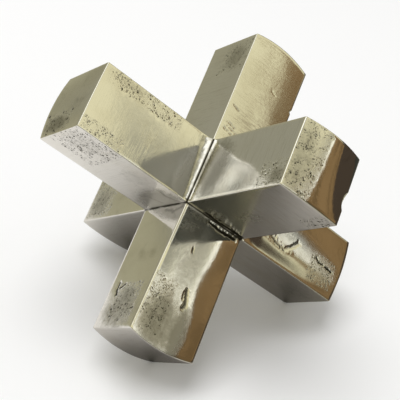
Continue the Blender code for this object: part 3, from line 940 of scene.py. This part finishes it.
class JACK_OT_add_casting(bpy.types.Operator):
    """Add the solid cast jack with its pits, weld bead and polish"""

    bl_idname = "mesh.add_jack_casting"
    bl_label = "Add Jack Casting"
    bl_options = {"REGISTER", "UNDO"}

    def execute(self, context):
        sizes = context.scene.jack_sizes
        core = tuple(sizes.core)
        arms = make_arms(sizes)
        casting = add_core(core)
        bpy.ops.object.mode_set(mode="EDIT")
        for arm in arms.values():
            extrude_arm(casting, core, arm)
        round_edges(casting, sizes)
        cut_edges(casting, ARM_EDGE, 1.0, ARM_CUTS)
        cut_edges(casting, ROOT_EDGE, ARM_EDGE, ROOT_CUTS)
        refine(casting, relief_places(core, arms, sizes))
        bpy.ops.object.mode_set(mode="OBJECT")

        points = crown_ends(read_points(casting.data), arms)
        stand = stand_matrix(arms, sizes, points)
        relief = Relief(points, core, arms)
        for seed, zone in enumerate(PIT_ZONES, 1):
            pit(relief, zone, seed)
        for groove in GROOVES:
            cut_groove(relief, groove)
        for dark_patch in SMUDGES_AND_SHADES:
            smear(relief, dark_patch, relief.haze)
        for patch in SATINS:
            smear(relief, patch, relief.satin)
        press_scoops(relief)
        raise_lip(relief)
        bend_folds(relief)
        polish_waves(relief, sizes)
        raise_bead(relief, sizes)
        sink_holes(relief)
        wear_edges(relief)
        settle_grime_and_shade(relief)
        standing = (points + relief.shift) @ np.array(stand.to_3x3()).T + np.array(stand.translation)
        write_points(casting.data, np.clip(standing, *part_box("jack")))
        store_marks(casting.data, relief)
        bpy.ops.object.shade_smooth_by_angle(angle=SMOOTH_ANGLE)
        casting.data.materials.append(polished_metal(context.scene.jack_finish, stand))
        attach(casting, "root")
        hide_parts("jack")
        return {"FINISHED"}


def add_floor(stage):
    """Pale floor; the metal mirrors it as a table that is dimmer far off and dark to the right.

    That table carries a painted shadow below and right of the sculpture and a painted contact shadow.
    """
    bpy.ops.mesh.primitive_plane_add(size=FLOOR_SIZE, location=(0.0, 2.0, -FLOOR_DROP))
    floor = bpy.context.object
    floor.name = "floor"
    bpy.ops.object.transform_apply(location=True)
    material = bpy.data.materials.new("pale_floor")
    material.use_nodes = True
    nodes = Nodes(material.node_tree)
    material.node_tree.nodes.remove(material.node_tree.nodes["Principled BSDF"])
    output = material.node_tree.nodes["Material Output"]
    place = nodes.add("TexCoord").outputs["Object"]
    x = nodes.parts(place)["X"]
    # Painted shadow: the mirrored table darkens from the lit left to below and right of the sculpture
    table = nodes.blend(nodes.span(x, -0.09, 0.02), stage.floor_in_metal, stage.floor_shadow_in_metal)
    away = nodes.vectors("DISTANCE", place, TABLE_MIDDLE)
    table = nodes.blend(nodes.span(away, 0.2, 0.3), table, stage.far_wall)
    mirrored = nodes.blend(nodes.span(x, 0.25, 0.45), table, stage.gloom)
    # Painted contact shadow: ambient occlusion darkens the mirrored table close to the sculpture
    contact_shadow = nodes.out("AmbientOcclusion", {"Color": mirrored, "Distance": CONTACT_SHADOW_REACH}, "Color")
    seen = nodes.out("BsdfDiffuse", {"Color": stage.floor})
    in_metal = nodes.out("BsdfDiffuse", {"Color": contact_shadow})
    glossy_ray = nodes.add("LightPath").outputs["Is Glossy Ray"]
    mix = nodes.out("MixShader", {0: glossy_ray, 1: seen, 2: in_metal})
    nodes.feed(output.inputs["Surface"], mix)
    floor.data.materials.append(material)


def direction(azimuth, elevation):
    azimuth, elevation = math.radians(azimuth), math.radians(elevation)
    flat = math.cos(elevation)
    return Vector((math.cos(azimuth) * flat, math.sin(azimuth) * flat, math.sin(elevation)))


def above_line(nodes, look):
    """How far a direction is above the timber's upper line, which bends at its middle point."""
    heights = []
    for first, second in zip(TIMBER_LINE, TIMBER_LINE[1:]):
        upward = direction(*first).cross(direction(*second)).normalized()
        heights.append(nodes.vectors("DOT_PRODUCT", look, upward))
    return nodes.maths("MINIMUM", *heights)


def room_colours(nodes, stage):
    """Pale wall over a brown band on the right, a dimmer wall at the left, and light overhead."""
    span, times, larger, blend = nodes.span, nodes.times, nodes.larger, nodes.blend
    look = nodes.add("TexCoord").outputs["Generated"]
    x, y, z = nodes.parts(look)
    above = above_line(nodes, look)
    rightness = nodes.vectors("DOT_PRODUCT", look, direction(20, 0))
    wall_light = larger(span(y, 0.13, 0.22), span(above, 0.11, 0.16))
    wall_light = larger(wall_light, span(above, 0.055, 0.03))
    wall = blend(wall_light, stage.dim_wall, stage.wall)
    window = times(span(y, 0.23, 0.15), span(above, 0.04, 0.03))
    low_window = times(span(y, 0.07, 0.03), span(above, 0.14, 0.09))
    wall = blend(larger(window, low_window), wall, stage.glow)
    grain = nodes.noise(look, 16.0, 3.0, 0.6)
    dark_timber = tuple(0.45 * part for part in stage.timber)
    lit_timber = times(span(y, 0.02, 0.16, 0.35, 1.0), span(grain, 0.4, 0.58, 0.35, 1.0))
    timber = blend(lit_timber, dark_timber, stage.timber)
    low = blend(span(above, -0.205, -0.19), stage.shade, timber)
    low = blend(span(y, -0.12, -0.02), stage.gloom, low)
    sideways = nodes.maths("DIVIDE", y, larger(x, 0.01))
    past_timber = span(sideways, stage.timber_end, stage.timber_end + 0.12)
    past_timber = times(past_timber, span(above, -0.26, -0.2))
    beside = blend(span(above, -0.3, -0.08), stage.far_wall, stage.wall)
    low = blend(past_timber, low, beside)
    right_side = blend(span(above, -0.002, 0.002), low, wall)
    elsewhere = blend(span(z, 0.2, 0.6), stage.far_wall, stage.wall)
    behind = times(span(y, 0.15, 0.35), span(nodes.noise(look, 1.8, 1.0), 0.42, 0.6))
    elsewhere = blend(behind, elsewhere, stage.dim_wall)
    room = blend(span(rightness, 0.35, 0.6), elsewhere, right_side)
    overhead = blend(span(x, 0.232, 0.212), stage.dim_ceiling, stage.zenith)
    lamp = times(span(x, 0.215, 0.1), span(x, -0.6, -0.5))
    overhead = blend(lamp, overhead, stage.lamp)
    return blend(span(z, 0.86, 0.9), room, overhead)


def add_room(scene, stage):
    """The room that the metal mirrors; the camera and the floor see plain pale light."""
    world = bpy.data.worlds.new("studio_room")
    scene.world = world
    world.use_nodes = True
    nodes = Nodes(world.node_tree)
    mirrored = world.node_tree.nodes["Background"]
    output = world.node_tree.nodes["World Output"]
    nodes.feed(mirrored.inputs["Color"], room_colours(nodes, stage))
    soft = nodes.out("Background", {"Color": [stage.fill] * 3})
    plain = nodes.out("Background", {"Color": BACKDROP})
    rays = nodes.add("LightPath").outputs
    room = mirrored.outputs[0]
    lit = nodes.out("MixShader", {0: rays["Is Diffuse Ray"], 1: room, 2: soft})
    mix = nodes.out("MixShader", {0: rays["Is Camera Ray"], 1: lit, 2: plain})
    nodes.feed(output.inputs["Surface"], mix)


def add_softbox(stage):
    bpy.ops.object.light_add(type="AREA", location=SOFTBOX_PLACE)
    light = bpy.context.object
    light.name = "softbox"
    light.data.size = SOFTBOX_SIZE
    light.data.energy = stage.softbox_power
    light.visible_glossy = False


def add_camera(scene, stage):
    """Camera at the photograph's viewing angle."""
    aim = Vector(stage.aim)
    flat = math.cos(stage.elevation)
    back = Vector((
        math.sin(stage.azimuth) * flat, -math.cos(stage.azimuth) * flat, math.sin(stage.elevation)
    ))
    bpy.ops.object.camera_add(location=aim + back * stage.distance)
    camera = bpy.context.object
    camera.name = "camera"
    look = back.to_track_quat("Z", "Y").to_matrix().to_4x4()
    camera.matrix_world = Matrix.Translation(camera.location) @ look @ Matrix.Rotation(stage.lean, 4, "Z")
    camera.data.lens = stage.lens
    scene.camera = camera


class JACK_OT_add_stage(bpy.types.Operator):
    """Add the pale floor, the light and the camera"""

    bl_idname = "scene.add_jack_stage"
    bl_label = "Add Stage"
    bl_options = {"REGISTER", "UNDO"}

    def execute(self, context):
        stage = context.scene.jack_stage
        add_floor(stage)
        add_room(context.scene, stage)
        add_softbox(stage)
        add_camera(context.scene, stage)
        context.scene.view_settings.view_transform = "Standard"
        return {"FINISHED"}


class JACK_PT_panel(bpy.types.Panel):
    """Lists the steps that make the sculpture"""

    bl_idname = "JACK_PT_panel"
    bl_label = "Cast Jack"
    bl_space_type = "VIEW_3D"
    bl_region_type = "UI"
    bl_category = "Jack"

    def draw(self, context):
        layout = self.layout
        layout.operator(JACK_OT_add_stage.bl_idname)
        layout.operator(JACK_OT_add_casting.bl_idname)
        for group in (getattr(context.scene, name) for name in GROUPS):
            box = layout.box()
            for setting in group.__annotations__:
                box.prop(group, setting)


GROUPS = {"jack_sizes": JackSizes, "jack_finish": JackFinish, "jack_stage": StageSettings}
CLASSES = (*GROUPS.values(), JACK_OT_add_casting, JACK_OT_add_stage, JACK_PT_panel)


def register():
    for cls in CLASSES:
        bpy.utils.register_class(cls)
    for name, group in GROUPS.items():
        setattr(bpy.types.Scene, name, PointerProperty(type=group))


def unregister():
    for name in GROUPS:
        delattr(bpy.types.Scene, name)
    for cls in reversed(CLASSES):
        bpy.utils.unregister_class(cls)


def main():
    register()
    bpy.ops.scene.add_jack_stage()
    bpy.ops.mesh.add_jack_casting()


if __name__ == "__main__":
    main()
